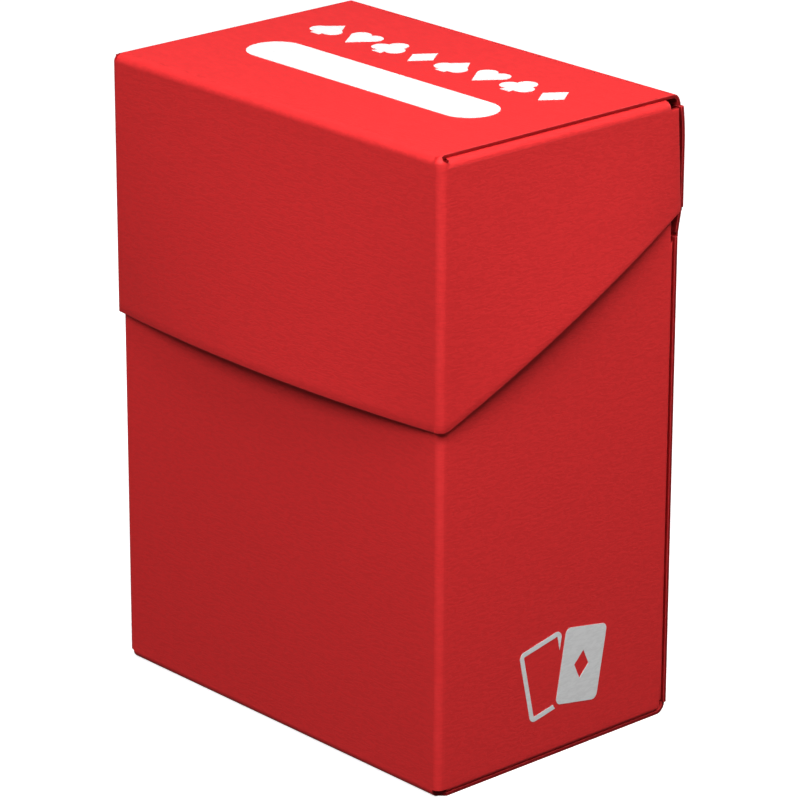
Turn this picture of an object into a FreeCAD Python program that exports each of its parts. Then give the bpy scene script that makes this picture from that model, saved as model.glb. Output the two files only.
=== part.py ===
import FreeCAD, Part
import math
import os

# Card deck box: one creased sheet of polypropylene, folded and glued into a body and an
# overlapping flip lid on a double-crease hinge, with a loose divider and white printing.
#
# Frame, in millimetres: the origin is the middle of the body's footprint, on the surface
# that the box stands on.  +X runs to the right along the front, +Y from the front to the
# hinged back, +Z up.

V = FreeCAD.Vector
RIGHT, LEFT = V(1, 0, 0), V(-1, 0, 0)
REAR, FRONT = V(0, 1, 0), V(0, -1, 0)
UP, DOWN = V(0, 0, 1), V(0, 0, -1)

# ---- driving dimensions -------------------------------------------------------------------
sheet = 0.55                # thickness of the polypropylene sheet
glue = 0.05                 # thickness of a glue film between a tab and its panel
ink = 0.04                  # thickness of the printing
body_width = 71.7           # outside of the body, left to right
body_depth = 47.3           # outside of the body, front to back
body_height = 80.0          # front and side walls of the body
lid_gap = 0.15              # running clearance between lid and body
total_height = 98.0         # outside of the closed lid, without printing

# creases, as outside radii
body_side_fold = 1.2        # front panel to side panel
body_tab_fold = 0.9         # side panel to rear tab
body_foot_fold = 0.8        # side panel to bottom tab
bottom_front_fold = 1.2     # bottom panel to front panel
bottom_rear_fold = 1.8      # bottom panel to back panel
lid_side_fold = 1.35
lid_tab_fold = 1.2
lid_front_fold = 1.35
lid_rear_fold = 1.8

# lid outline
lid_front_low = 57.3        # lower edge of the lid at the front
lid_front_bow = 2.1         # how far that edge springs out at the middle
lid_side_bow = 1.4          # how far the slanted side edges spring out at the middle
lid_rear_slack_top = 1.35   # from the free rear edge of a lid side to the lid back, at the top
lid_rear_slack_low = 0.4    # the same at the hinge: the free edge slants
top_fold_stop = 1.55        # from the rear end of a lid side's rolled top to that free edge
lid_back_inset = 0.4        # cut edges of the lid back, from the lid sides
top_inset = 1.1             # cut edges of the lid top, from the lid sides

# hinge: a strip between two creases, on the outer faces of the sheet
lower_crease_z = 76.6
upper_crease_z = 80.4
web = 0.2                   # sheet left in the bottom of a crease
web_reach = 0.3             # half of a crease's width

# tabs
tab_width = 12.0            # rear tabs and top tabs
foot_tab_width = 14.0       # bottom tabs
tab_chamfer = 4.0
glue_margin = 1.5           # bare edge around a glue film

# loose divider
divider_width = 66.0
divider_height = 91.0
divider_corner = 3.0
divider_clearance = 0.3

# printing
strip_length = 51.4         # white write-on strip
strip_width = 9.2
strip_y = -4.8
suit_size = 6.2             # height of one card-suit symbol
suit_pitch = 7.0
suit_y = 8.8
card_width = 8.6            # cards of the pictogram on the right side
card_height = 12.0
card_corner = 1.0
card_line = 0.8

# ---- worked-out positions -----------------------------------------------------------------
body_x = body_width / 2
body_y = body_depth / 2
lid_x = body_x + lid_gap + sheet
lid_y = body_y + lid_gap + sheet
rear_tab_y = body_y - sheet - glue              # outer face of the rear tabs
foot_tab_z = sheet + glue                       # under face of the bottom tabs
top_tab_z = total_height - sheet - glue         # upper face of the top tabs
rear_top_y = lid_y - sheet - lid_rear_slack_top   # free rear edge of a lid side, at the top
bottom_inset = 0.3                              # cut edges of the bottom panel, from the sides
relief = 0.65                                   # notch between a fold's end and a corner


# ---- shape helpers ------------------------------------------------------------------------
def prism(points, run):
    """A solid from a closed outline of points, pushed along a vector."""
    outline = Part.makePolygon(points + [points[0]])
    return Part.Face(outline).extrude(run)


def box(low, high):
    """A solid box between two opposite corners."""
    size = high - low
    return Part.makeBox(size.x, size.y, size.z, low)


def quarter_fold(centre, start, end, radius, run):
    """A crease rolled through a quarter turn, from the unit vector start to end."""
    inner = radius - sheet
    middle = (start + end) * math.sqrt(0.5)
    edges = [
        Part.Arc(centre + start * radius, centre + middle * radius, centre + end * radius).toShape(),
        Part.makeLine(centre + end * radius, centre + end * inner),
        Part.Arc(centre + end * inner, centre + middle * inner, centre + start * inner).toShape(),
        Part.makeLine(centre + start * inner, centre + start * radius),
    ]
    return Part.Face(Part.Wire(edges)).extrude(run)


def joined(shapes):
    """Solids that share faces, fused into one solid without seams."""
    return shapes[0].fuse(shapes[1:]).removeSplitter()


def mirrored(shape):
    """The left-hand twin of a right-hand shape."""
    return shape.mirror(V(0, 0, 0), RIGHT)


def tab(root_start, root_end, reach, thickness):
    """A tab from its root edge, with its free corners cut off."""
    along = (root_end - root_start).normalize() * tab_chamfer
    step = reach * (1 - tab_chamfer / reach.Length)
    outline = [root_start, root_start + step, root_start + reach + along,
               root_end + reach - along, root_end + step, root_end]
    return prism(outline, thickness)


def glue_film(low, high):
    """A glue film on both sides of the box, as two separate solids."""
    film = box(low, high)
    return Part.makeCompound([film, mirrored(film)])


def bowed_strip(start, end, outward, bow):
    """The section of a panel's edge: the sheet's thickness, with its middle sprung outwards."""
    inner_start = start - outward * sheet
    inner_end = end - outward * sheet
    peak = (start + end) * 0.5 + outward * bow
    inner_peak = peak - outward * sheet
    if bow > 0:
        outer_edge = Part.Arc(start, peak, end).toShape()
        inner_edge = Part.Arc(inner_end, inner_peak, inner_start).toShape()
    else:
        outer_edge = Part.makeLine(start, end)
        inner_edge = Part.makeLine(inner_end, inner_start)
    return Part.Wire([outer_edge, Part.makeLine(end, inner_end), inner_edge,
                      Part.makeLine(inner_start, start)])


# ---- body ---------------------------------------------------------------------------------
def body_front_panel():
    reach = body_x - body_side_fold
    return box(V(-reach, -body_y, bottom_front_fold), V(reach, -body_y + sheet, body_height))


def body_right_side_panel():
    front_y = -body_y + body_side_fold
    rear_y = rear_tab_y - body_tab_fold
    foot_z = foot_tab_z + body_foot_fold
    plate = box(V(body_x - sheet, front_y, foot_z), V(body_x, rear_y, body_height))
    front_fold = quarter_fold(V(body_x - body_side_fold, front_y, bottom_front_fold), FRONT, RIGHT,
                              body_side_fold, UP * (body_height - bottom_front_fold))
    rear_low = foot_z + 1.0
    rear_fold = quarter_fold(V(body_x - body_tab_fold, rear_y, rear_low), RIGHT, REAR,
                             body_tab_fold, UP * (lower_crease_z - 1.0 - rear_low))
    foot_start = front_y + relief
    foot_length = rear_y - relief - foot_start
    foot_fold = quarter_fold(V(body_x - body_foot_fold, foot_start, foot_z), RIGHT, DOWN,
                             body_foot_fold, REAR * foot_length)
    return joined([plate, front_fold, rear_fold, foot_fold])


def body_back_panel():
    top = lower_crease_z - web_reach
    plate = box(V(-body_x, body_y - sheet, bottom_rear_fold), V(body_x, body_y, top))
    crease = box(V(-body_x, body_y - web, top), V(body_x, body_y, lower_crease_z))
    return joined([plate, crease])


def body_bottom_panel():
    front_y = -body_y + bottom_front_fold
    rear_y = body_y - bottom_rear_fold
    front_reach = body_x - body_side_fold
    reach = body_x - bottom_inset
    corner = reach - front_reach
    outline = [V(-front_reach, front_y, 0), V(front_reach, front_y, 0),
               V(reach, front_y + corner, 0), V(reach, rear_y, 0),
               V(-reach, rear_y, 0), V(-reach, front_y + corner, 0)]
    plate = prism(outline, UP * sheet)
    front_fold = quarter_fold(V(-front_reach, front_y, bottom_front_fold), FRONT, DOWN,
                              bottom_front_fold, RIGHT * (2 * front_reach))
    rear_fold = quarter_fold(V(-reach, rear_y, bottom_rear_fold), DOWN, REAR,
                             bottom_rear_fold, RIGHT * (2 * reach))
    return joined([plate, front_fold, rear_fold])


def body_right_rear_tab():
    low = foot_tab_z + body_foot_fold + 1.0
    root_x = body_x - body_tab_fold
    return tab(V(root_x, rear_tab_y, low), V(root_x, rear_tab_y, lower_crease_z - 1.0),
               LEFT * tab_width, FRONT * sheet)


def body_right_bottom_tab():
    root_x = body_x - body_foot_fold
    front_y = -body_y + body_side_fold + relief
    rear_y = rear_tab_y - body_tab_fold - relief
    return tab(V(root_x, front_y, foot_tab_z), V(root_x, rear_y, foot_tab_z),
               LEFT * foot_tab_width, UP * sheet)


def body_rear_glue():
    outer_x = body_x - body_tab_fold - glue_margin
    inner_x = body_x - body_tab_fold - tab_width + glue_margin
    return glue_film(V(inner_x, rear_tab_y, 8.0), V(outer_x, rear_tab_y + glue, lower_crease_z - 6.0))


def body_bottom_glue():
    outer_x = body_x - body_foot_fold - glue_margin
    inner_x = body_x - body_foot_fold - foot_tab_width + glue_margin
    reach = body_y - 8.0
    return glue_film(V(inner_x, -reach, sheet), V(outer_x, reach, foot_tab_z))


# ---- hinge --------------------------------------------------------------------------------
def hinge_strip():
    """The strip between the two creases, leaning out from the body back to the lid back."""
    lean = (lid_y - body_y) / (upper_crease_z - lower_crease_z)

    def point(z, depth):
        return V(-body_x, body_y + lean * (z - lower_crease_z) - depth, z)

    outline = [point(lower_crease_z, 0), point(upper_crease_z, 0), point(upper_crease_z, web),
               point(upper_crease_z - web_reach, web), point(upper_crease_z - web_reach, sheet),
               point(lower_crease_z + web_reach, sheet), point(lower_crease_z + web_reach, web),
               point(lower_crease_z, web)]
    return prism(outline, RIGHT * body_width)


# ---- lid ----------------------------------------------------------------------------------
def lid_top_panel():
    front_y = -lid_y + lid_front_fold
    rear_y = lid_y - lid_rear_fold
    front_reach = lid_x - lid_side_fold
    edge = lid_x - top_inset
    plate = box(V(-edge, front_y, total_height - sheet), V(edge, rear_y, total_height))
    front_fold = quarter_fold(V(-front_reach, front_y, total_height - lid_front_fold), UP, FRONT,
                              lid_front_fold, RIGHT * (2 * front_reach))
    rear_fold = quarter_fold(V(-edge, rear_y, total_height - lid_rear_fold), UP, REAR,
                             lid_rear_fold, RIGHT * (2 * edge))
    return joined([plate, front_fold, rear_fold])


def lid_front_panel():
    reach = lid_x - lid_side_fold
    top_z = total_height - lid_front_fold
    top = bowed_strip(V(-reach, -lid_y, top_z), V(reach, -lid_y, top_z), FRONT, 0)
    low = bowed_strip(V(-reach, -lid_y, lid_front_low), V(reach, -lid_y, lid_front_low), FRONT,
                      lid_front_bow)
    return Part.makeLoft([top, low], True, True)


def lid_right_side_panel():
    front_y = -lid_y + lid_side_fold
    rear_low_y = lid_y - sheet - lid_rear_slack_low
    fold_z = top_tab_z - lid_tab_fold
    top = bowed_strip(V(lid_x, front_y, fold_z), V(lid_x, rear_top_y, fold_z), RIGHT, 0)
    slant = bowed_strip(V(lid_x, front_y, lid_front_low), V(lid_x, rear_low_y, upper_crease_z),
                        RIGHT, lid_side_bow)
    plate = Part.makeLoft([top, slant], True, True)
    front_fold = quarter_fold(V(lid_x - lid_side_fold, front_y, lid_front_low), FRONT, RIGHT,
                              lid_side_fold, UP * (fold_z - lid_front_low))
    top_start = front_y + relief
    top_fold = quarter_fold(V(lid_x - lid_tab_fold, top_start, fold_z), RIGHT, UP,
                            lid_tab_fold, REAR * (rear_top_y - top_fold_stop - top_start))
    return joined([plate, front_fold, top_fold])


def lid_back_panel():
    reach = lid_x - lid_back_inset
    low = upper_crease_z + web_reach
    plate = box(V(-reach, lid_y - sheet, low), V(reach, lid_y, total_height - lid_rear_fold))
    crease = box(V(-body_x, lid_y - web, upper_crease_z), V(body_x, lid_y, low))
    return joined([plate, crease])


def lid_right_top_tab():
    root_x = lid_x - lid_tab_fold
    front_y = -lid_y + lid_side_fold + relief
    rear_y = rear_top_y - top_fold_stop
    return tab(V(root_x, front_y, top_tab_z), V(root_x, rear_y, top_tab_z),
               LEFT * tab_width, DOWN * sheet)


def lid_top_glue():
    outer_x = lid_x - lid_tab_fold - glue_margin
    inner_x = lid_x - lid_tab_fold - tab_width + glue_margin
    reach = lid_y - 8.0
    return glue_film(V(inner_x, -reach, top_tab_z), V(outer_x, reach, top_tab_z + glue))


# ---- divider ------------------------------------------------------------------------------
def divider():
    """A loose card of the same sheet, standing near the back, with rounded upper corners."""
    rear_y = rear_tab_y - sheet - divider_clearance
    low_z = foot_tab_z + sheet + glue
    reach = divider_width / 2
    card = box(V(-reach, rear_y - sheet, low_z), V(reach, rear_y, low_z + divider_height))
    upper = [edge for edge in card.Edges
             if edge.Length < 2 * sheet and edge.CenterOfMass.z > divider_height
             and abs(edge.tangentAt(edge.FirstParameter).y) > 0.9]
    return card.makeFillet(divider_corner, upper)


# ---- printing -----------------------------------------------------------------------------
def name_strip():
    """The white strip to write on, with round ends."""
    radius = strip_width / 2
    reach = strip_length / 2 - radius
    middle = box(V(-reach, strip_y - radius, total_height),
                 V(reach, strip_y + radius, total_height + ink))
    ends = [Part.makeCylinder(radius, ink, V(side * reach, strip_y, total_height))
            for side in (-1, 1)]
    return joined([middle] + ends)


def suit_symbol(suit, x):
    """One card-suit symbol, read from the front, with its middle at x."""
    half = suit_size / 2
    lobe = suit_size * 0.26

    def at(u, w):
        return V(x + u * half, suit_y + w * half, total_height)

    def disc(u, w, radius=lobe):
        return Part.makeCylinder(radius, ink, at(u, w))

    foot = prism([at(-0.32, -1), at(0.32, -1), at(0.08, 0.2), at(-0.08, 0.2)], UP * ink)
    if suit == "diamond":
        return prism([at(0, -1), at(0.72, 0), at(0, 1), at(-0.72, 0)], UP * ink)
    if suit == "club":
        return joined([disc(0, 0.46), disc(-0.46, -0.2), disc(0.46, -0.2), foot])
    if suit == "heart":
        point = prism([at(-0.9, 0.2), at(0, -1), at(0.9, 0.2), at(0, 0.5)], UP * ink)
        return joined([point, disc(-0.44, 0.45), disc(0.44, 0.45)])
    point = prism([at(-0.9, -0.1), at(0, -0.35), at(0.9, -0.1), at(0, 1)], UP * ink)
    return joined([point, disc(-0.44, -0.25), disc(0.44, -0.25), foot])


def suit_marks():
    """The four suits, twice over, in a row behind the name strip."""
    suits = ["spade", "heart", "club", "diamond"] * 2
    first = -(len(suits) - 1) / 2
    return Part.makeCompound([suit_symbol(suit, (first + place) * suit_pitch)
                              for place, suit in enumerate(suits)])


def card_outline(margin):
    """A playing card with round corners on the right-hand side of the body, before it is turned."""
    width = card_width - 2 * margin
    height = card_height - 2 * margin
    plate = Part.makeBox(ink, width, height, V(body_x, -width / 2, -height / 2))
    corners = [edge for edge in plate.Edges if edge.Length < 2 * ink]
    return plate.makeFillet(max(card_corner - margin, 0.2), corners)


def card_pictogram():
    """Two blank overlapping cards: an outlined one behind and a solid one in front."""
    behind = card_outline(0).cut(card_outline(card_line))
    front = card_outline(0)
    front_margin = card_outline(-card_line)
    diamond = prism([V(body_x, 0, -2.2), V(body_x, 1.5, 0), V(body_x, 0, 2.2), V(body_x, -1.5, 0)],
                    RIGHT * ink)
    front = front.cut(diamond)
    middle = V(body_x, 1.5, 13.4)
    placed = []
    for shape, offset, turn in ((behind, -3.6, 12), (front, 3.8, -10), (front_margin, 3.8, -10)):
        shape.rotate(V(0, 0, 0), RIGHT, turn)
        shape.translate(V(0, middle.y + offset, middle.z))
        placed.append(shape)
    behind, front, front_margin = placed
    return Part.makeCompound(behind.cut(front_margin).Solids + front.Solids)


# ---- write every node ---------------------------------------------------------------------
right_side = body_right_side_panel()
right_rear_tab = body_right_rear_tab()
right_bottom_tab = body_right_bottom_tab()
lid_right_side = lid_right_side_panel()
lid_right_tab = lid_right_top_tab()

nodes = {
    "body_front_panel": body_front_panel(),
    "body_left_side_panel": mirrored(right_side),
    "body_right_side_panel": right_side,
    "body_back_panel": body_back_panel(),
    "body_bottom_panel": body_bottom_panel(),
    "body_left_rear_tab": mirrored(right_rear_tab),
    "body_right_rear_tab": right_rear_tab,
    "body_left_bottom_tab": mirrored(right_bottom_tab),
    "body_right_bottom_tab": right_bottom_tab,
    "body_rear_tab_glue": body_rear_glue(),
    "body_bottom_tab_glue": body_bottom_glue(),
    "card_pictogram": card_pictogram(),
    "hinge_strip": hinge_strip(),
    "lid_top_panel": lid_top_panel(),
    "lid_front_panel": lid_front_panel(),
    "lid_left_side_panel": mirrored(lid_right_side),
    "lid_right_side_panel": lid_right_side,
    "lid_back_panel": lid_back_panel(),
    "lid_left_top_tab": mirrored(lid_right_tab),
    "lid_right_top_tab": lid_right_tab,
    "lid_top_tab_glue": lid_top_glue(),
    "name_strip": name_strip(),
    "suit_marks": suit_marks(),
    "divider": divider(),
}

os.makedirs("parts", exist_ok=True)
for name, shape in nodes.items():
    shape.exportStep("parts/" + name + ".step")
    print(name, "valid" if shape.isValid() else "NOT VALID", len(shape.Solids), "solids",
          round(shape.Volume, 2), "mm3")
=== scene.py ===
# %% [markdown]
# # A card deck box folded from one plastic sheet
# A deck box is a single die-cut blank of polypropylene: it is creased, folded and glued, so every
# edge is a rolled crease or a plain cut edge, and nothing else. This lesson rebuilds each flat of
# the blank around a finished mechanical frame, which already says where every panel is and moves.

# %% Load the frame
import bmesh
import bpy
import math
from mathutils import Matrix, Vector


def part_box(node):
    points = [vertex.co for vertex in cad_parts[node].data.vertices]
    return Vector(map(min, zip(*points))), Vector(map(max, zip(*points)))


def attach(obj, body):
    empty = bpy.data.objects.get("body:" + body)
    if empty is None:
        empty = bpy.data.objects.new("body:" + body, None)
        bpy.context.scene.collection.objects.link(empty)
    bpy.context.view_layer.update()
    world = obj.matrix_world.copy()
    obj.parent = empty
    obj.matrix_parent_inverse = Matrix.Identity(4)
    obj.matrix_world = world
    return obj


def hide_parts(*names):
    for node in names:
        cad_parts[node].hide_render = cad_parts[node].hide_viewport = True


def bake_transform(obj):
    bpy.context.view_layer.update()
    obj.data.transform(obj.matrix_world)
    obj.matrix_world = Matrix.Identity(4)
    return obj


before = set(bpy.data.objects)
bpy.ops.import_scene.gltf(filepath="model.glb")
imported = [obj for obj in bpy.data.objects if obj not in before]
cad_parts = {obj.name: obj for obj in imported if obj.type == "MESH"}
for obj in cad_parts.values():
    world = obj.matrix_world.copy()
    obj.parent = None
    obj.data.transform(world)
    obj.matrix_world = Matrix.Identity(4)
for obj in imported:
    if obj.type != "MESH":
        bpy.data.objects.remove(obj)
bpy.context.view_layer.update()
mm = 0.001
hair = 0.02 * mm

# %% [markdown]
# The box's sizes are read from the frame, so a changed design changes the looks with it. A corner
# of a node's box gives an outer face, and the difference of two corners gives a crease's radius.
# The few small sizes that the design leaves out are named in millimetres where they are needed.

# %% Sizes of the sheet and the body
def low(node):
    """The corner of a node's box with the smallest x, y and z."""
    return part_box(node)[0]


def high(node):
    """The corner of a node's box with the largest x, y and z."""
    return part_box(node)[1]


sheet = high("lid_back_panel").y - low("lid_back_panel").y
body_x = high("body_right_side_panel").x
body_y = high("body_back_panel").y
body_top = high("body_front_panel").z
body_fold = body_x - high("body_front_panel").x
foot_front_fold = low("body_front_panel").z
foot_rear_fold = low("body_back_panel").z
foot_x = high("body_right_bottom_tab").x
foot_z = low("body_right_bottom_tab").z
foot_fold = body_x - foot_x
rear_tab_x = high("body_right_rear_tab").x
rear_tab_y = high("body_right_rear_tab").y
rear_tab_fold = body_x - rear_tab_x
lower_crease = high("body_back_panel").z
print("sheet mm", round(sheet / mm, 3), "body fold mm", round(body_fold / mm, 3))

# %% Sizes of the lid
lid_top = high("lid_top_panel").z
lid_y = high("lid_top_panel").y
lid_low = low("lid_front_panel").z
lid_fold = lid_top - high("lid_front_panel").z
corner_x = high("lid_front_panel").x
corner_y = -lid_y + lid_fold
lid_x = corner_x + lid_fold
lid_rear_fold = lid_top - high("lid_back_panel").z
top_tab_x = high("lid_right_top_tab").x
top_tab_z = high("lid_right_top_tab").z
tab_fold = lid_x - top_tab_x
roll_z = top_tab_z - tab_fold
roll_front = low("lid_right_top_tab").y
roll_rear = high("lid_right_top_tab").y
free_edge_low = high("lid_right_side_panel").y
upper_crease = low("lid_back_panel").z
front_spring = -lid_y - low("lid_front_panel").y
side_spring = high("lid_right_side_panel").x - lid_x
print("lid mm", [round(v / mm, 2) for v in (lid_x, lid_y, lid_top)],
      "springs mm", round(front_spring / mm, 2), round(side_spring / mm, 2))

# %% [markdown]
# The camera comes first. It stands far away with a long lens, as for a catalogue picture, so the
# box's upright edges stay nearly parallel. Its place is worked out from a distance and two angles,
# and it is rolled very slightly about its own line of sight.

# %% Camera
camera_azimuth = math.radians(47.81)
camera_elevation = math.radians(20.07)
camera_roll = math.radians(0.16)
camera_distance = 0.660
aim = Vector((0.8 * mm, 0.5 * mm, 46.8 * mm))
towards = Vector((-math.sin(camera_azimuth) * math.cos(camera_elevation),
                  math.cos(camera_azimuth) * math.cos(camera_elevation), -math.sin(camera_elevation)))
bpy.ops.object.camera_add(location=aim - towards * camera_distance)
camera = bpy.context.object
camera.name = "studio_camera"
camera.rotation_mode = "QUATERNION"
camera.rotation_quaternion = (Matrix.Rotation(-camera_roll, 3, towards)
                              @ towards.to_track_quat("-Z", "Y").to_matrix()).to_quaternion()
camera.data.lens = 196.4
camera.data.sensor_width = 36.0
camera.data.clip_end = 10.0
bpy.context.scene.camera = camera
print("camera at", [round(v, 3) for v in camera.location])

# %% [markdown]
# The box stands on a pale floor. A white floor would throw so much light up at the box that the
# shadow under the lid would vanish, so the floor is kept out of the light that bounces about. It
# glows a little instead, which keeps it pale far from the lamps, and it still takes soft shadows.

# %% Floor and sky
bpy.context.scene.view_settings.view_transform = "Standard"
bpy.ops.mesh.primitive_plane_add(size=8.0)
floor = bpy.context.object
floor.name = "studio_floor"
floor.visible_diffuse = False
floor.visible_glossy = False
floor_paint = bpy.data.materials.new("floor_paint")
floor_paint.use_nodes = True
floor_shader = floor_paint.node_tree.nodes["Principled BSDF"]
floor_shader.inputs["Base Color"].default_value = (0.80, 0.80, 0.80, 1)
floor_shader.inputs["Roughness"].default_value = 0.9
floor_shader.inputs["Emission Color"].default_value = (1, 1, 1, 1)
floor_shader.inputs["Emission Strength"].default_value = 0.72
floor.data.materials.append(floor_paint)

sky = bpy.data.worlds.new("pale_sky")
sky.use_nodes = True
sky.node_tree.nodes["Background"].inputs["Color"].default_value = (1, 1, 1, 1)
sky.node_tree.nodes["Background"].inputs["Strength"].default_value = 0.08
bpy.context.scene.world = sky

# %% [markdown]
# Each wall has its own soft box, close by and above it: one in front and one on the right. Being
# close, they leave the foot and the far edges darker, and together they make the upright crease
# between the walls the brightest line. A large soft box overhead evens out the lid's top, and a
# weak one at the back keeps the open lid readable from behind.

# %% Soft boxes
def soft_box(name, at, size, power):
    """A square area light that faces the box."""
    bpy.ops.object.light_add(type="AREA", location=at)
    light = bpy.context.object
    light.name = name
    light.data.size = size
    light.data.energy = power
    light.visible_camera = False
    light.rotation_mode = "QUATERNION"
    light.rotation_quaternion = (aim - Vector(at)).to_track_quat("-Z", "Y")


def around(turn, rise, distance):
    """A place around the box: degrees from the front to the right, degrees up, and metres away."""
    turn = math.radians(turn)
    rise = math.radians(rise)
    level = Vector((math.sin(turn), -math.cos(turn), 0)) * math.cos(rise)
    return aim + distance * (level + Vector((0, 0, math.sin(rise))))


soft_box("front_box", around(turn=15, rise=46, distance=0.52), size=0.24, power=1.58)
soft_box("right_box", around(turn=80, rise=58, distance=0.52), size=0.24, power=2.25)
soft_box("top_box", (0.0, 0.0, 2.0), size=1.5, power=3.0)
soft_box("rear_box", around(turn=176, rise=10, distance=0.80), size=0.4, power=1.1)

# %% [markdown]
# Polypropylene for boxes is embossed by a roller with a fine leather grain: short wavy wrinkles
# that run along the sheet. A stretched, distorted noise gives them. The effect goes into a node
# group, because the sheet, the ink on it and the divider all need it with other values.

# %% Node helpers
def new_group(name, inputs, outputs):
    """An empty shader node group with named sockets, and its two end nodes."""
    group = bpy.data.node_groups.new(name, "ShaderNodeTree")
    for socket, kind, value in inputs:
        made = group.interface.new_socket(name=socket, in_out="INPUT", socket_type=kind)
        if value is not None:
            made.default_value = value
    for socket, kind in outputs:
        group.interface.new_socket(name=socket, in_out="OUTPUT", socket_type=kind)
    return group, group.nodes.new("NodeGroupInput"), group.nodes.new("NodeGroupOutput")


def maths(tree, operation, first, second):
    """A math node on two sockets or numbers, and its result."""
    node = tree.nodes.new("ShaderNodeMath")
    node.operation = operation
    for place, value in enumerate((first, second)):
        if isinstance(value, (int, float)):
            node.inputs[place].default_value = value
        else:
            tree.links.new(value, node.inputs[place])
    return node.outputs[0]


def noise(tree, vector, scale, detail, distortion=0.0):
    """A noise texture's grey value."""
    node = tree.nodes.new("ShaderNodeTexNoise")
    node.inputs["Scale"].default_value = scale
    node.inputs["Detail"].default_value = detail
    node.inputs["Distortion"].default_value = distortion
    tree.links.new(vector, node.inputs["Vector"])
    return node.outputs["Fac"]


def remap(tree, value, from_low, from_high, to_low, to_high):
    """A smooth change from one range of values to another."""
    node = tree.nodes.new("ShaderNodeMapRange")
    node.interpolation_type = "SMOOTHSTEP"
    for socket, number in (("From Min", from_low), ("From Max", from_high),
                           ("To Min", to_low), ("To Max", to_high)):
        node.inputs[socket].default_value = number
    tree.links.new(value, node.inputs["Value"])
    return node.outputs["Result"]


# %% Leather grain
grain, grain_in, grain_out = new_group(
    "leather_grain",
    [("Vector", "NodeSocketVector", None), ("Stretch", "NodeSocketVector", (1, 1, 1))],
    [("Height", "NodeSocketFloat"), ("Tone", "NodeSocketFloat")])
stretched = grain.nodes.new("ShaderNodeVectorMath")
stretched.operation = "MULTIPLY"
grain.links.new(grain_in.outputs["Vector"], stretched.inputs[0])
grain.links.new(grain_in.outputs["Stretch"], stretched.inputs[1])
wrinkles = noise(grain, stretched.outputs[0], scale=800.0, detail=3.0, distortion=0.9)
pores = noise(grain, stretched.outputs[0], scale=2300.0, detail=2.0)
broad = noise(grain, grain_in.outputs["Vector"], scale=55.0, detail=2.0)
ridges = remap(grain, wrinkles, 0.35, 0.65, 0.0, 1.0)
raised = maths(grain, "MULTIPLY", ridges, 0.8)
height = maths(grain, "ADD", raised, maths(grain, "MULTIPLY", pores, 0.3))
tone = maths(grain, "ADD", raised, maths(grain, "MULTIPLY", broad, 0.2))
grain.links.new(height, grain_out.inputs["Height"])
grain.links.new(tone, grain_out.inputs["Tone"])
print("leather grain nodes", len(grain.nodes))

# %% [markdown]
# The upright creases rub against other boxes, so their ridges get a faint paler bloom, which is partly
# rubbed wear and partly a painted highlight on the ridges. The group measures how far a point is from
# the nearest upright corner of the box, and breaks the bloom into patches.

# %% Rubbed and highlit corners
rub_glint, rub_glint_in, rub_glint_out = new_group(
    "rubbed_and_highlit_corners",
    [("Vector", "NodeSocketVector", None), ("Corner X", "NodeSocketFloat", body_x),
     ("Corner Y", "NodeSocketFloat", body_y)],
    [("Mask", "NodeSocketFloat")])
parts = rub_glint.nodes.new("ShaderNodeSeparateXYZ")
rub_glint.links.new(rub_glint_in.outputs["Vector"], parts.inputs[0])
across = maths(rub_glint, "ABSOLUTE", parts.outputs["X"], 0)
along = maths(rub_glint, "ABSOLUTE", parts.outputs["Y"], 0)
from_x = maths(rub_glint, "SUBTRACT", rub_glint_in.outputs["Corner X"], across)
from_y = maths(rub_glint, "SUBTRACT", rub_glint_in.outputs["Corner Y"], along)
reach = maths(rub_glint, "ADD", maths(rub_glint, "MAXIMUM", from_x, 0), maths(rub_glint, "MAXIMUM", from_y, 0))
ridge = remap(rub_glint, reach, 0.2 * mm, 1.5 * mm, 1.0, 0.0)
spots = noise(rub_glint, rub_glint_in.outputs["Vector"], scale=240.0, detail=3.0)
patches = remap(rub_glint, spots, 0.35, 0.7, 0.25, 1.0)
rub_glint.links.new(maths(rub_glint, "MULTIPLY", ridge, patches), rub_glint_out.inputs["Mask"])

# %% [markdown]
# The materials keep their shader outside the groups. The red is deep, so nearly all the brightness
# differences between the box's sides come from the light, and the gloss is a soft satin. The body's
# red is a brighter copy of the lid's: painted light that lifts the body's tone. A cut edge is duller
# and deeper than the embossed face, and is darkened further as painted shade for the dark line beside
# the lid top's cut edges. The pale strip on the rounded cut edges is partly the burr that the cutting
# die leaves and partly a painted edge highlight.

# %% Material maker
gloss_swing = 0.05


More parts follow.
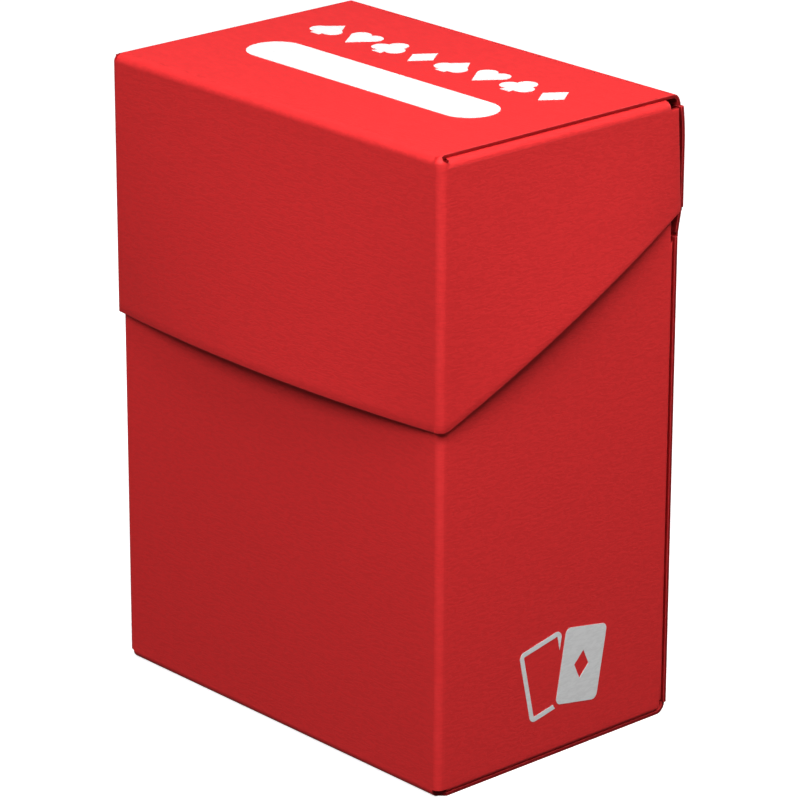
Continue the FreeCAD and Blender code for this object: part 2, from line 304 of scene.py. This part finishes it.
def plastic(name, dark, bright, stretch, roughness, bump, bloom=0.0, corner=(0.0, 0.0)):
    """A sheet material: colours in the grain's valleys and ridges, its stretch and its relief."""
    material = bpy.data.materials.new(name)
    material.use_nodes = True
    tree = material.node_tree
    shader = tree.nodes["Principled BSDF"]
    shader.inputs["Specular IOR Level"].default_value = 0.2
    place = tree.nodes.new("ShaderNodeTexCoord").outputs["Object"]
    grained = tree.nodes.new("ShaderNodeGroup")
    grained.node_tree = grain
    grained.inputs["Stretch"].default_value = stretch
    tree.links.new(place, grained.inputs["Vector"])
    colour = tree.nodes.new("ShaderNodeMix")
    colour.data_type = "RGBA"
    colour.inputs["A"].default_value = (*dark, 1)
    colour.inputs["B"].default_value = (*bright, 1)
    tree.links.new(grained.outputs["Tone"], colour.inputs["Factor"])
    paint = colour.outputs["Result"]
    # The bloom paints the upright creases paler: partly rubbed wear, partly a painted highlight on their
    # ridges.
    if bloom:
        rubbed_and_highlit = tree.nodes.new("ShaderNodeGroup")
        rubbed_and_highlit.node_tree = rub_glint
        rubbed_and_highlit.inputs["Corner X"].default_value = corner[0]
        rubbed_and_highlit.inputs["Corner Y"].default_value = corner[1]
        tree.links.new(place, rubbed_and_highlit.inputs["Vector"])
        worn_and_highlit = tree.nodes.new("ShaderNodeMix")
        worn_and_highlit.data_type = "RGBA"
        paler = [min(1.0, 1.25 * channel + 0.01) for channel in bright]
        worn_and_highlit.inputs["B"].default_value = (*paler, 1)
        tree.links.new(paint, worn_and_highlit.inputs["A"])
        tree.links.new(maths(tree, "MULTIPLY", rubbed_and_highlit.outputs["Mask"], bloom), worn_and_highlit.inputs["Factor"])
        paint = worn_and_highlit.outputs["Result"]
    tree.links.new(paint, shader.inputs["Base Color"])
    satin = remap(tree, grained.outputs["Height"], 0.0, 1.0,
                  roughness - gloss_swing, roughness + gloss_swing)
    tree.links.new(satin, shader.inputs["Roughness"])
    relief = tree.nodes.new("ShaderNodeBump")
    relief.inputs["Strength"].default_value = bump
    relief.inputs["Distance"].default_value = 0.04 * mm
    tree.links.new(grained.outputs["Height"], relief.inputs["Height"])
    tree.links.new(relief.outputs["Normal"], shader.inputs["Normal"])
    return material


# %% Finishes
upright_grain = (0.9, 0.9, 3.4)
level_grain = (0.9, 3.4, 1.0)
even_grain = (1, 1, 1)
red_dark = (0.775, 0.031, 0.033)
red_bright = (0.855, 0.035, 0.037)
# Painted light: the body's red is a brighter copy of the lid's red, which lifts the body's tone below the
# lid.
body_red = plastic("body_red", (0.83, 0.033, 0.035), (0.91, 0.037, 0.039), upright_grain,
                   roughness=0.42, bump=0.35, bloom=0.5, corner=(body_x, body_y))
lid_red = plastic("lid_red", red_dark, red_bright, upright_grain,
                  roughness=0.42, bump=0.35, bloom=0.5, corner=(lid_x, lid_y))
flat_red = plastic("flat_red", red_dark, red_bright, level_grain, roughness=0.42, bump=0.30)
# Partly the cut edge's own deeper red and partly painted shade: dark enough to stand in for the shadowed
# line beside the lid top's cut edges. It is also painted as shade on the inner margins.
cut_edge_and_shade_red = plastic("cut_edge_and_shade_red", (0.29, 0.006, 0.007), (0.37, 0.007, 0.008), even_grain,
                       roughness=0.55, bump=0.3)
# Partly the pale burr of the cutting die, partly a painted highlight along the rounded cut edges.
burr_and_highlight_red = plastic("burr_and_highlight_red", (0.64, 0.045, 0.05), (0.72, 0.055, 0.06), even_grain,
                        roughness=0.4, bump=0.2)
divider_red = plastic("divider_red", (0.50, 0.008, 0.010), (0.60, 0.012, 0.014), upright_grain,
                      roughness=0.5, bump=0.25)
ink_dark = (0.86, 0.86, 0.86)
ink_bright = (0.95, 0.95, 0.95)
top_ink = plastic("top_ink", ink_dark, ink_bright, level_grain, roughness=0.35, bump=0.12)
side_ink = plastic("side_ink", ink_dark, ink_bright, upright_grain, roughness=0.35, bump=0.12)
glue_film = plastic("glue_film", (0.62, 0.55, 0.40), (0.72, 0.66, 0.50), level_grain,
                    roughness=0.25, bump=0.2)
print("materials", [m.name for m in bpy.data.materials])

# %% [markdown]
# A panel is a grid primitive whose four corners are moved to the flat's corners. Its open edges
# are then extruded, or spun a quarter turn to roll a crease. Only the outer skin is modelled, and
# a Solidify modifier gives it the sheet's thickness at the end, as the real sheet has nearly
# everywhere. Two places closer than a hair's breadth count as one when edges are picked.

# %% Modelling helpers
# How far in from the side edges the inner faces get painted shade.
margin_shade_reach = 3.0 * mm
edge_round = 0.07 * mm
weld_reach = 0.004 * mm
sharp_angle = math.radians(55)
smooth_angle = math.radians(35)
crease_steps = 12
soft_crease_steps = 16
hidden_crease_steps = 10


def near(first, second):
    """Whether two coordinates are less than a hair's breadth apart."""
    return abs(first - second) < hair


def add_grid(name, columns, rows, corners):
    """A grid with its four corners at their places, left in edit mode."""
    bpy.ops.object.select_all(action="DESELECT")
    bpy.ops.mesh.primitive_grid_add(x_subdivisions=columns, y_subdivisions=rows, size=1)
    piece = bpy.context.object
    piece.name = piece.data.name = name
    first, second, third, fourth = (Vector(corner) for corner in corners)
    for vertex in piece.data.vertices:
        u, v = vertex.co.x + 0.5, vertex.co.y + 0.5
        vertex.co = first.lerp(second, u).lerp(fourth.lerp(third, u), v)
    bpy.ops.object.mode_set(mode="EDIT")
    return piece


def pick(test):
    """Selects the open edges whose two ends and middle pass a test on their place."""
    bpy.ops.mesh.select_mode(type="EDGE")
    bpy.ops.mesh.select_all(action="DESELECT")
    mesh = bmesh.from_edit_mesh(bpy.context.object.data)
    for edge in mesh.edges:
        first, second = (vertex.co for vertex in edge.verts)
        if edge.is_boundary and all(map(test, (first, second, (first + second) / 2))):
            edge.select_set(True)
    bmesh.update_edit_mesh(bpy.context.object.data)


def pull(test, step):
    """Extrudes the picked open edges along a vector."""
    pick(test)
    bpy.ops.mesh.extrude_region_move(TRANSFORM_OT_translate={"value": step})


def roll(test, centre, axis, angle, steps=crease_steps):
    """Rolls a crease: the picked open edges turn about an axis. Spin itself turns clockwise."""
    pick(test)
    bpy.ops.mesh.spin(steps=steps, angle=-math.radians(angle), center=centre, axis=axis)


def face_outwards(piece):
    """Merges doubles and makes the skin's faces look away from the middle of the box."""
    bpy.ops.mesh.select_all(action="SELECT")
    bpy.ops.mesh.remove_doubles(threshold=weld_reach)
    bpy.ops.mesh.normals_make_consistent(inside=False)
    bpy.ops.object.mode_set(mode="OBJECT")
    middle = Vector((0, 0, lid_top / 2))
    score = sum((face.center - middle).dot(face.normal) * face.area for face in piece.data.polygons)
    if score < 0:
        piece.data.flip_normals()


def thicken(piece, thickness):
    """Gives a skin its thickness on the inner side. Its cut edges take the second material.

    The first material only holds the place of the finish that hand_over gives.
    """
    bpy.context.view_layer.objects.active = piece
    for material in (body_red, cut_edge_and_shade_red, burr_and_highlight_red):
        piece.data.materials.append(material)
    modifier = piece.modifiers.new("sheet_thickness", "SOLIDIFY")
    modifier.thickness = thickness
    modifier.offset = -1
    modifier.use_even_offset = True
    modifier.material_offset_rim = 1
    bpy.ops.object.modifier_apply(modifier=modifier.name)


def paint_margin_shade(piece):
    """Painted shade: inner faces along the side edges, deep in a narrow groove, take the cut edges' dark
    red.
    """
    for face in piece.data.polygons:
        if face.normal.y < -0.9 and abs(face.center.x) > body_x - margin_shade_reach:
            face.material_index = 1


def soften(piece, on_seam):
    """Rounds the cut edges, except where the sheet runs on into the next panel.

    The rounded strips take the third material: a pale burr that is partly a painted edge highlight.
    """
    bpy.context.view_layer.objects.active = piece
    bpy.ops.object.mode_set(mode="EDIT")
    bpy.ops.mesh.select_mode(type="EDGE")
    bpy.ops.mesh.select_all(action="DESELECT")
    bpy.ops.mesh.edges_select_sharp(sharpness=sharp_angle)
    mesh = bmesh.from_edit_mesh(piece.data)
    for edge in mesh.edges:
        if edge.select and on_seam((edge.verts[0].co + edge.verts[1].co) / 2):
            edge.select_set(False)
    bmesh.update_edit_mesh(piece.data)
    bpy.ops.mesh.bevel(offset=edge_round, segments=2, affect="EDGES", clamp_overlap=True, material=2)
    bpy.ops.object.mode_set(mode="OBJECT")
    bpy.ops.object.select_all(action="DESELECT")
    piece.select_set(True)
    bpy.ops.object.shade_smooth_by_angle(angle=smooth_angle)


def hand_over(piece, body, node, material):
    """The piece gets its finish, moves with its body and stands for its node."""
    piece.data.materials[0] = material
    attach(piece, body)
    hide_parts(node)
    print(piece.name, len(piece.data.polygons), "faces on", body)


def left_twin(piece, name):
    """The mirror image of a right-hand piece, with its own mesh, turned the right way out."""
    twin = piece.copy()
    twin.data = piece.data.copy()
    twin.name = twin.data.name = name
    bpy.context.scene.collection.objects.link(twin)
    twin.data.transform(Matrix.Scale(-1, 4, (1, 0, 0)))
    twin.data.flip_normals()
    return twin


# %% [markdown]
# The lid is a tight fit, and its walls spring outwards at the free lower edge. It is easier to roll
# the creases on straight walls first and to spring them afterwards. This function says where each
# point of a straight wall goes: both walls bow as parabolas, and the corner crease opens so that it
# stays tangent to both. The bow fades to nothing at the top, and the side is cut on a slant.

# %% Springing the lid's walls
side_run = free_edge_low - corner_y
slant_rise = upper_crease - lid_low
slant_ease = 0.6 * mm
free_edge_slant = 0.95 * mm
spring_curve = 1.5


def slant_height(y):
    """Height of the slanted lower edge: level at the corner crease, then rising to the hinge."""
    along = max(0.0, y - corner_y)
    slope = slant_rise / (side_run - slant_ease / 2)
    if along < slant_ease:
        return lid_low + slope * along ** 2 / (2 * slant_ease)
    return lid_low + slope * (along - slant_ease / 2)


def sprung(point):
    """Where a point of a straight lid wall goes once the wall has sprung."""
    hand = math.copysign(1, point.x)
    x, y, z = abs(point.x), point.y, point.z
    down = min(1.0, max(0.0, (roll_z - z) / (roll_z - lid_low)))
    share = down ** spring_curve
    front_turn = math.atan(2 * front_spring * share / corner_x)
    side_turn = math.atan(4 * side_spring * share / side_run)
    if y <= corner_y + 1e-6 and x <= corner_x + 1e-6:
        end_x = corner_x + lid_fold * math.sin(front_turn)
        end_y = corner_y - lid_fold * math.cos(front_turn)
        u = x / corner_x
        return Vector((hand * u * end_x,
                       end_y - math.tan(front_turn) * end_x / 2 * (1 - u * u), z))
    if y < corner_y and down > 0:
        turned = math.atan2(x - corner_x, corner_y - y) / (math.pi / 2)
        turn = front_turn + turned * (math.pi / 2 - front_turn - side_turn)
        return Vector((hand * (corner_x + lid_fold * math.sin(turn)),
                       corner_y - lid_fold * math.cos(turn), z))
    if down > 0 or near(x, lid_x):
        start_x = corner_x + lid_fold * math.cos(side_turn)
        start_y = corner_y - lid_fold * math.sin(side_turn)
        late = max(0.0, (y - roll_rear) / (free_edge_low - roll_rear))
        new_y = y - late * free_edge_slant * (1 - down)
        new_y = start_y + (new_y - corner_y) * (free_edge_low - start_y) / side_run
        run = free_edge_low - start_y
        gone = min(run, new_y - start_y)
        out = start_x + math.tan(side_turn) * gone * (1 - gone / run)
        return Vector((hand * out, new_y, roll_z - down * (roll_z - slant_height(y))))
    return point.copy()


print("slant ends at mm", round(slant_height(free_edge_low) / mm, 2))

# %% [markdown]
# The lid top is the largest bright surface. It is a flat with a crease rolled down to the front
# and a larger, softer one to the back. Its side edges are cut edges that lie over the glued tabs.

# %% Lid top
top_rear_y = lid_y - lid_rear_fold
top_edge = high("lid_top_panel").x
crease_drop = 1.2 * mm
lid_top_skin = add_grid("lid_top_skin", columns=36, rows=24, corners=[
    (-corner_x, corner_y, lid_top), (corner_x, corner_y, lid_top),
    (corner_x, top_rear_y, lid_top), (-corner_x, top_rear_y, lid_top)])
for hand in (-1, 1):
    pull(lambda p: near(p.x, hand * corner_x), (hand * (top_edge - corner_x), 0, 0))
roll(lambda p: near(p.y, corner_y) and abs(p.x) < corner_x + hair,
     (0, corner_y, lid_top - lid_fold), (1, 0, 0), 90)
roll(lambda p: near(p.y, top_rear_y),
     (0, top_rear_y, lid_top - lid_rear_fold), (1, 0, 0), -90, soft_crease_steps)
face_outwards(lid_top_skin)

# %% [markdown]
# The back panel is slightly sprung inwards below the rear crease, because that crease is soft. The
# same small lean is given to the top's rear crease and to the back panel, so they stay joined.

# %% Lean of the rear crease
lean_start = upper_crease + 10.0 * mm
lean_height = high("lid_back_panel").z - lean_start
lean_most = 0.42 * mm


def leaned(point):
    """Where a point near the lid's rear crease goes once the back has leaned in."""
    share = min(1.0, max(0.0, (point.z - lean_start) / lean_height))
    depth = min(1.0, max(0.0, (point.y - top_rear_y) / lid_rear_fold))
    return point - Vector((0, lean_most * share ** 2 * depth, 0))


for vertex in lid_top_skin.data.vertices:
    vertex.co = leaned(vertex.co)
thicken(lid_top_skin, sheet)


def lid_top_seam(p):
    """Edges of the top where the sheet runs on into the walls."""
    to_walls = p.z < lid_top - crease_drop
    front_corner = p.y < corner_y - hair and abs(p.x) > corner_x - crease_drop
    return to_walls or front_corner


soften(lid_top_skin, lid_top_seam)
hand_over(lid_top_skin, "lid", "lid_top_panel", flat_red)

# %% Lid front
lid_rows = 28
lid_front_skin = add_grid("lid_front_skin", columns=36, rows=lid_rows, corners=[
    (-corner_x, -lid_y, lid_low), (corner_x, -lid_y, lid_low),
    (corner_x, -lid_y, roll_z), (-corner_x, -lid_y, roll_z)])
pull(lambda p: near(p.z, roll_z), (0, 0, lid_top - lid_fold - roll_z))
face_outwards(lid_front_skin)
for vertex in lid_front_skin.data.vertices:
    vertex.co = sprung(vertex.co)
thicken(lid_front_skin, sheet)
seam_width = 0.2 * mm
soften(lid_front_skin, lambda p: abs(p.x) > corner_x - seam_width or p.z > roll_z)
hand_over(lid_front_skin, "lid", "lid_front_panel", lid_red)

# %% [markdown]
# A lid side carries two creases: the upright one round to the front, and the rolled one along the
# top that ends in the glued tab. They meet the front crease in the corner, where the sheet closes
# into an eighth of a ball. A spin about the crease's own middle makes exactly that shape.

# %% Lid right side
relief_gap = 0.6 * mm
relief_rear = corner_y + relief_gap
side_skin = add_grid("lid_right_side_skin", columns=30, rows=lid_rows, corners=[
    (lid_x, relief_rear, lid_low), (lid_x, roll_rear, lid_low),
    (lid_x, roll_rear, roll_z), (lid_x, relief_rear, roll_z)])
roll(lambda p: near(p.z, roll_z), (top_tab_x, 0, roll_z), (0, 1, 0), -90)
pull(lambda p: near(p.y, relief_rear) and p.z < roll_z + hair, (0, corner_y - relief_rear, 0))
rear_strips = 3
strip_width = (free_edge_low - roll_rear) / rear_strips
for strip in range(rear_strips):
    reached = roll_rear + strip_width * strip
    pull(lambda p: near(p.y, reached) and p.z < roll_z + hair and near(p.x, lid_x), (0, strip_width, 0))
roll(lambda p: near(p.y, corner_y), (corner_x, corner_y, 0), (0, 0, 1), -90)
ball_z = lid_top - lid_fold
pull(lambda p: near(p.z, roll_z) and p.y < corner_y + hair, (0, 0, ball_z - roll_z))
roll(lambda p: near(p.z, ball_z) and p.y < corner_y + hair,
     (corner_x, corner_y, ball_z), (0, 1, 0), -90)
bpy.ops.mesh.select_all(action="SELECT")
bpy.ops.mesh.remove_doubles(threshold=weld_reach)

# %% [markdown]
# A small relief hole is punched where the creases meet, or the sheet would tear there. The rolled
# crease is bridged to the ball first, and then the faces around the hole's middle are deleted.

# %% Relief hole of the lid's corner
relief_high = 1.15 * mm
hole_offset = 0.92 * mm
hole_radius = 0.62 * mm
hole_rim = 1.3 * hole_radius


def beside_hole(p):
    """Open edges of the rolled crease and of the ball that face each other."""
    on_crease = near(p.y, relief_rear) and p.z < roll_z + relief_high
    on_ball = near(p.y, corner_y) and p.z < ball_z + relief_high and p.x > corner_x + lid_fold / 2
    return p.z > roll_z - hair and (on_crease or on_ball)


pick(beside_hole)
bpy.ops.mesh.bridge_edge_loops()
hole = Vector((corner_x + hole_offset, corner_y, ball_z + hole_offset))
bpy.ops.mesh.select_mode(type="FACE")
bpy.ops.mesh.select_all(action="DESELECT")
corner_mesh = bmesh.from_edit_mesh(side_skin.data)
for face in corner_mesh.faces:
    face.select_set((face.calc_center_median() - hole).length < hole_radius)
bmesh.update_edit_mesh(side_skin.data)
bpy.ops.mesh.delete(type="FACE")
corner_mesh = bmesh.from_edit_mesh(side_skin.data)
for vertex in corner_mesh.verts:
    away = vertex.co - hole
    if vertex.is_boundary and away.length < hole_rim:
        vertex.co = hole + away.normalized() * hole_radius
bmesh.update_edit_mesh(side_skin.data)
face_outwards(side_skin)
for vertex in side_skin.data.vertices:
    vertex.co = sprung(vertex.co)
thicken(side_skin, sheet)
# The ball's inner wall would poke through the front panel without this limit.
for vertex in side_skin.data.vertices:
    vertex.co.x = max(vertex.co.x, corner_x)
print("lid side faces", len(side_skin.data.polygons))

# %% Softened edges, and the left twin
def lid_side_seam(p):
    """Edges of the side where the sheet runs on, and the ball that closes the corner."""
    to_front = p.y < corner_y - 4 * seam_width and abs(p.x) < corner_x + 2 * seam_width
    to_tab = near(abs(p.x), top_tab_x) and p.z > roll_z
    ball = p.y < corner_y + hair and p.z > ball_z - hair
    return to_front or to_tab or ball


soften(side_skin, lid_side_seam)
left_side_skin = left_twin(side_skin, "lid_left_side_skin")
hand_over(side_skin, "lid", "lid_right_side_panel", lid_red)
hand_over(left_side_skin, "lid", "lid_left_side_panel", lid_red)

# %% Lid back
back_x = high("lid_back_panel").x
web_half = 0.3 * mm
back_top = high("lid_back_panel").z
lid_back_skin = add_grid("lid_back_skin", columns=30, rows=16, corners=[
    (back_x, lid_y, upper_crease + web_half), (-back_x, lid_y, upper_crease + web_half),
    (-back_x, lid_y, back_top), (back_x, lid_y, back_top)])
face_outwards(lid_back_skin)
for vertex in lid_back_skin.data.vertices:
    vertex.co = leaned(vertex.co)
thicken(lid_back_skin, sheet)
paint_margin_shade(lid_back_skin)
soften(lid_back_skin, lambda p: p.z > back_top - hair)
hand_over(lid_back_skin, "lid", "lid_back_panel", lid_red)

# %% [markdown]
# The tabs are flats with two corners cut off, so that they slide in easily when the box is glued.
# A vertex bevel with one segment cuts a corner off a plane.

# %% Tabs
def add_tab(name, corners, cut_length):
    """A tab from its four corners, the last two of which are its free ones."""
    tab = add_grid(name, columns=1, rows=1, corners=corners)
    bpy.ops.mesh.select_mode(type="VERT")
    bpy.ops.mesh.select_all(action="DESELECT")
    mesh = bmesh.from_edit_mesh(tab.data)
    for vertex in mesh.verts:
        if min((vertex.co - Vector(corner)).length for corner in corners[2:]) < hair:
            vertex.select_set(True)
    bmesh.update_edit_mesh(tab.data)
    bpy.ops.mesh.bevel(offset=cut_length, segments=1, affect="VERTICES")
    bpy.ops.object.mode_set(mode="OBJECT")
    return tab


def finish_tab(tab, inward, root_x, node, body, material):
    """Thickens a tab away from its panel, and makes its left twin."""
    if tab.data.polygons[0].normal.dot(Vector(inward)) > 0:
        tab.data.flip_normals()
    thicken(tab, sheet)
    soften(tab, lambda p: near(p.x, root_x))
    twin = left_twin(tab, tab.name.replace("right", "left"))
    hand_over(tab, body, node, material)
    hand_over(twin, body, node.replace("right", "left"), material)


tab_cut = 4.0 * mm
top_tab_low = low("lid_right_top_tab")
finish_tab(add_tab("lid_right_top_tab_skin",
                   [(top_tab_x, roll_front, top_tab_z), (top_tab_x, roll_rear, top_tab_z),
                    (top_tab_low.x, roll_rear, top_tab_z), (top_tab_low.x, roll_front, top_tab_z)], tab_cut),
           (0, 0, -1), top_tab_x, "lid_right_top_tab", "lid", flat_red)
foot_low, foot_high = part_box("body_right_bottom_tab")
finish_tab(add_tab("body_right_bottom_tab_skin",
                   [(foot_x, foot_low.y, foot_z), (foot_x, foot_high.y, foot_z),
                    (foot_low.x, foot_high.y, foot_z), (foot_low.x, foot_low.y, foot_z)], tab_cut),
           (0, 0, 1), foot_x, "body_right_bottom_tab", "body", flat_red)
rear_low, rear_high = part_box("body_right_rear_tab")
finish_tab(add_tab("body_right_rear_tab_skin",
                   [(rear_tab_x, rear_tab_y, rear_low.z), (rear_tab_x, rear_tab_y, rear_high.z),
                    (rear_low.x, rear_tab_y, rear_high.z), (rear_low.x, rear_tab_y, rear_low.z)], tab_cut),
           (0, -1, 0), rear_tab_x, "body_right_rear_tab", "body", body_red)

# %% [markdown]
# The body is made like the lid, without the spring. Its sides turn in at the rear and at the foot,
# and short gaps at the ends of those creases keep the sheet from jamming in the corners.

# %% Body front
body_front_y = low("body_front_panel").y
front_x = high("body_front_panel").x
body_front_skin = add_grid("body_front_skin", columns=36, rows=40, corners=[
    (-front_x, body_front_y, foot_front_fold), (front_x, body_front_y, foot_front_fold),
    (front_x, body_front_y, body_top), (-front_x, body_front_y, body_top)])
face_outwards(body_front_skin)
thicken(body_front_skin, sheet)
soften(body_front_skin, lambda p: abs(p.x) > front_x - hair or p.z < foot_front_fold + hair)
hand_over(body_front_skin, "body", "body_front_panel", body_red)

# %% Body right side
body_corner_y = body_front_y + body_fold
turn_y = rear_tab_y - rear_tab_fold
foot_roll_z = foot_z + foot_fold
body_side_skin = add_grid("body_right_side_skin", columns=24, rows=36, corners=[
    (body_x, foot_low.y, rear_low.z), (body_x, foot_high.y, rear_low.z),
    (body_x, foot_high.y, rear_high.z), (body_x, foot_low.y, rear_high.z)])
pull(lambda p: near(p.z, rear_low.z), (0, 0, foot_roll_z - rear_low.z))
pull(lambda p: near(p.z, rear_high.z), (0, 0, body_top - rear_high.z))
roll(lambda p: near(p.z, foot_roll_z), (foot_x, 0, foot_roll_z), (0, 1, 0), 90, hidden_crease_steps)
pull(lambda p: near(p.y, foot_low.y) and near(p.x, body_x), (0, body_corner_y - foot_low.y, 0))
pull(lambda p: near(p.y, foot_high.y) and near(p.x, body_x), (0, turn_y - foot_high.y, 0))
roll(lambda p: near(p.y, body_corner_y), (front_x, body_corner_y, 0), (0, 0, 1), -90)
roll(lambda p: near(p.y, turn_y) and rear_low.z - hair < p.z < rear_high.z + hair,
     (rear_tab_x, turn_y, 0), (0, 0, 1), 90, hidden_crease_steps)
foot_drop = 0.75 * mm
foot_dip = 0.5 * mm
foot_rise = 1.1 * mm
pull(lambda p: near(p.z, foot_roll_z) and p.y < body_corner_y + hair, (0, 0, -foot_drop))
# The upright crease ends lower at the front than at the side, where the foot's crease begins.
foot_mesh = bmesh.from_edit_mesh(body_side_skin.data)
for vertex in foot_mesh.verts:
    if near(vertex.co.z, foot_roll_z - foot_drop) and vertex.co.y < body_corner_y + hair:
        turned = math.atan2(vertex.co.x - front_x, body_corner_y - vertex.co.y) / (math.pi / 2)
        vertex.co.z += foot_rise * turned - foot_dip
bmesh.update_edit_mesh(body_side_skin.data)
face_outwards(body_side_skin)
thicken(body_side_skin, sheet)
# The inner wall of the upright crease stops where the front panel begins.
for vertex in body_side_skin.data.vertices:
    vertex.co.x = max(vertex.co.x, front_x)


def body_side_seam(p):
    """Edges of the side where the sheet runs on into the front and the two tabs."""
    to_front = p.y < body_corner_y and near(abs(p.x), front_x)
    to_rear_tab = p.y > turn_y and near(abs(p.x), rear_tab_x)
    to_foot_tab = p.z < foot_roll_z and near(abs(p.x), foot_x)
    return to_front or to_rear_tab or to_foot_tab


soften(body_side_skin, body_side_seam)
body_left_skin = left_twin(body_side_skin, "body_left_side_skin")
hand_over(body_side_skin, "body", "body_right_side_panel", body_red)
hand_over(body_left_skin, "body", "body_left_side_panel", body_red)

# %% Body bottom
bottom_rear_y = body_y - foot_rear_fold
bottom_x = high("body_bottom_panel").x
bottom_skin = add_grid("body_bottom_skin", columns=30, rows=20, corners=[
    (-front_x, body_corner_y, 0), (front_x, body_corner_y, 0),
    (front_x, bottom_rear_y, 0), (-front_x, bottom_rear_y, 0)])
for hand in (-1, 1):
    pull(lambda p: near(p.x, hand * front_x), (hand * (bottom_x - front_x), 0, 0))
roll(lambda p: near(p.y, body_corner_y) and abs(p.x) < front_x + hair,
     (0, body_corner_y, foot_front_fold), (1, 0, 0), -90)
roll(lambda p: near(p.y, bottom_rear_y), (0, bottom_rear_y, foot_rear_fold), (1, 0, 0), 90,
     soft_crease_steps)
face_outwards(bottom_skin)
# The two front corners are cut off on a slant, clear of the upright creases.
for vertex in bottom_skin.data.vertices:
    if abs(vertex.co.x) > front_x + hair and near(vertex.co.y, body_corner_y):
        vertex.co.y += bottom_x - front_x
thicken(bottom_skin, sheet)


def bottom_seam(p):
    """Edges of the bottom where the sheet runs on into the front and the back."""
    to_front = p.y < body_front_y + sheet + hair and p.z > foot_front_fold - hair
    to_back = p.y > body_y - sheet - hair and p.z > foot_rear_fold - hair
    return to_front or to_back


soften(bottom_skin, bottom_seam)
hand_over(bottom_skin, "body", "body_bottom_panel", flat_red)

# %% Body back
body_back_skin = add_grid("body_back_skin", columns=30, rows=36, corners=[
    (body_x, body_y, foot_rear_fold), (-body_x, body_y, foot_rear_fold),
    (-body_x, body_y, lower_crease - web_half), (body_x, body_y, lower_crease - web_half)])
face_outwards(body_back_skin)
thicken(body_back_skin, sheet)
paint_margin_shade(body_back_skin)
soften(body_back_skin, lambda p: p.z < foot_rear_fold + hair)
hand_over(body_back_skin, "body", "body_back_panel", body_red)

# %% [markdown]
# The lid hangs on two creases with a narrow strip between them. At a crease the sheet is pressed
# down to a thin web, and the web is what bends. So each web is a thin piece of its own that reaches
# from one panel to the next, and the strip between them stays stiff.

# %% Hinge strip and webs
strip_lean = (lid_y - body_y) / (upper_crease - lower_crease)
web_thickness = 0.2 * mm
web_steps = 5


def strip_point(x, z):
    """A point on the outer face of the hinge strip, which leans between the two creases."""
    return (x, body_y + strip_lean * (z - lower_crease), z)


hinge_skin = add_grid("hinge_strip_skin", columns=30, rows=6, corners=[
    strip_point(body_x, lower_crease + web_half), strip_point(-body_x, lower_crease + web_half),
    strip_point(-body_x, upper_crease - web_half), strip_point(body_x, upper_crease - web_half)])
face_outwards(hinge_skin)
thicken(hinge_skin, sheet)
paint_margin_shade(hinge_skin)
soften(hinge_skin, lambda p: False)
hand_over(hinge_skin, "hinge", "hinge_strip", body_red)


def add_web(name, low_end, mid_end, high_end):
    """A thin pressed web over a crease, from one panel to the next."""
    web = add_grid(name, columns=30, rows=web_steps, corners=[
        (body_x, *low_end), (-body_x, *low_end),
        (-body_x, *mid_end), (body_x, *mid_end)])
    start = Vector((0, *mid_end))
    move = (Vector((0, *high_end)) - start) / web_steps
    for step in range(web_steps):
        reached = start + step * move
        pull(lambda p: (Vector((0, p.y, p.z)) - reached).length < hair / 2, move)
    face_outwards(web)
    thicken(web, web_thickness)
    soften(web, lambda p: True)
    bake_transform(web)
    return web


def yz(point):
    """The last two coordinates of a point."""
    return point[1:]


lower_web = add_web("body_crease_web", (body_y, lower_crease - web_half), (body_y, lower_crease),
                    yz(strip_point(0, lower_crease + web_half)))
upper_web = add_web("lid_crease_web", yz(strip_point(0, upper_crease - web_half)), (lid_y, upper_crease),
                    (lid_y, upper_crease + web_half))
print("webs", lower_web.name, upper_web.name)

# %% [markdown]
# The divider is a loose card of the same sheet with rounded upper corners, so that it doesn't
# catch the sleeves. A vertex bevel with several segments rounds them.

# %% Divider
divider_corner = 3.0 * mm
card_low, card_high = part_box("divider")
divider_skin = add_grid("divider_skin", columns=1, rows=1, corners=[
    (card_high.x, card_high.y, card_low.z), (card_low.x, card_high.y, card_low.z),
    (card_low.x, card_high.y, card_high.z), (card_high.x, card_high.y, card_high.z)])
bpy.ops.mesh.select_mode(type="VERT")
bpy.ops.mesh.select_all(action="DESELECT")
card_mesh = bmesh.from_edit_mesh(divider_skin.data)
for vertex in card_mesh.verts:
    vertex.select_set(near(vertex.co.z, card_high.z))
bmesh.update_edit_mesh(divider_skin.data)
bpy.ops.mesh.bevel(offset=divider_corner, segments=10, affect="VERTICES")
bpy.ops.object.mode_set(mode="OBJECT")
if divider_skin.data.polygons[0].normal.y < 0:
    divider_skin.data.flip_normals()
thicken(divider_skin, sheet)
soften(divider_skin, lambda p: False)
hand_over(divider_skin, "divider", "divider", divider_red)

# %% [markdown]
# The printing and the glue films already have their right shape in the frame, so they only get
# their finishes: an opaque white ink whose surface follows the sheet's grain, and an amber glue.

# %% Ink and glue
for node, material, slot in (("name_strip", top_ink, "white_ink"), ("suit_marks", top_ink, "white_ink"),
                             ("card_pictogram", side_ink, "white_ink"),
                             ("body_rear_tab_glue", glue_film, "clear_glue"),
                             ("body_bottom_tab_glue", glue_film, "clear_glue"),
                             ("lid_top_tab_glue", glue_film, "clear_glue")):
    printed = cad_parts[node]
    printed.data.materials.clear()
    printed.data.materials.append(material)
    print(node, material.name)
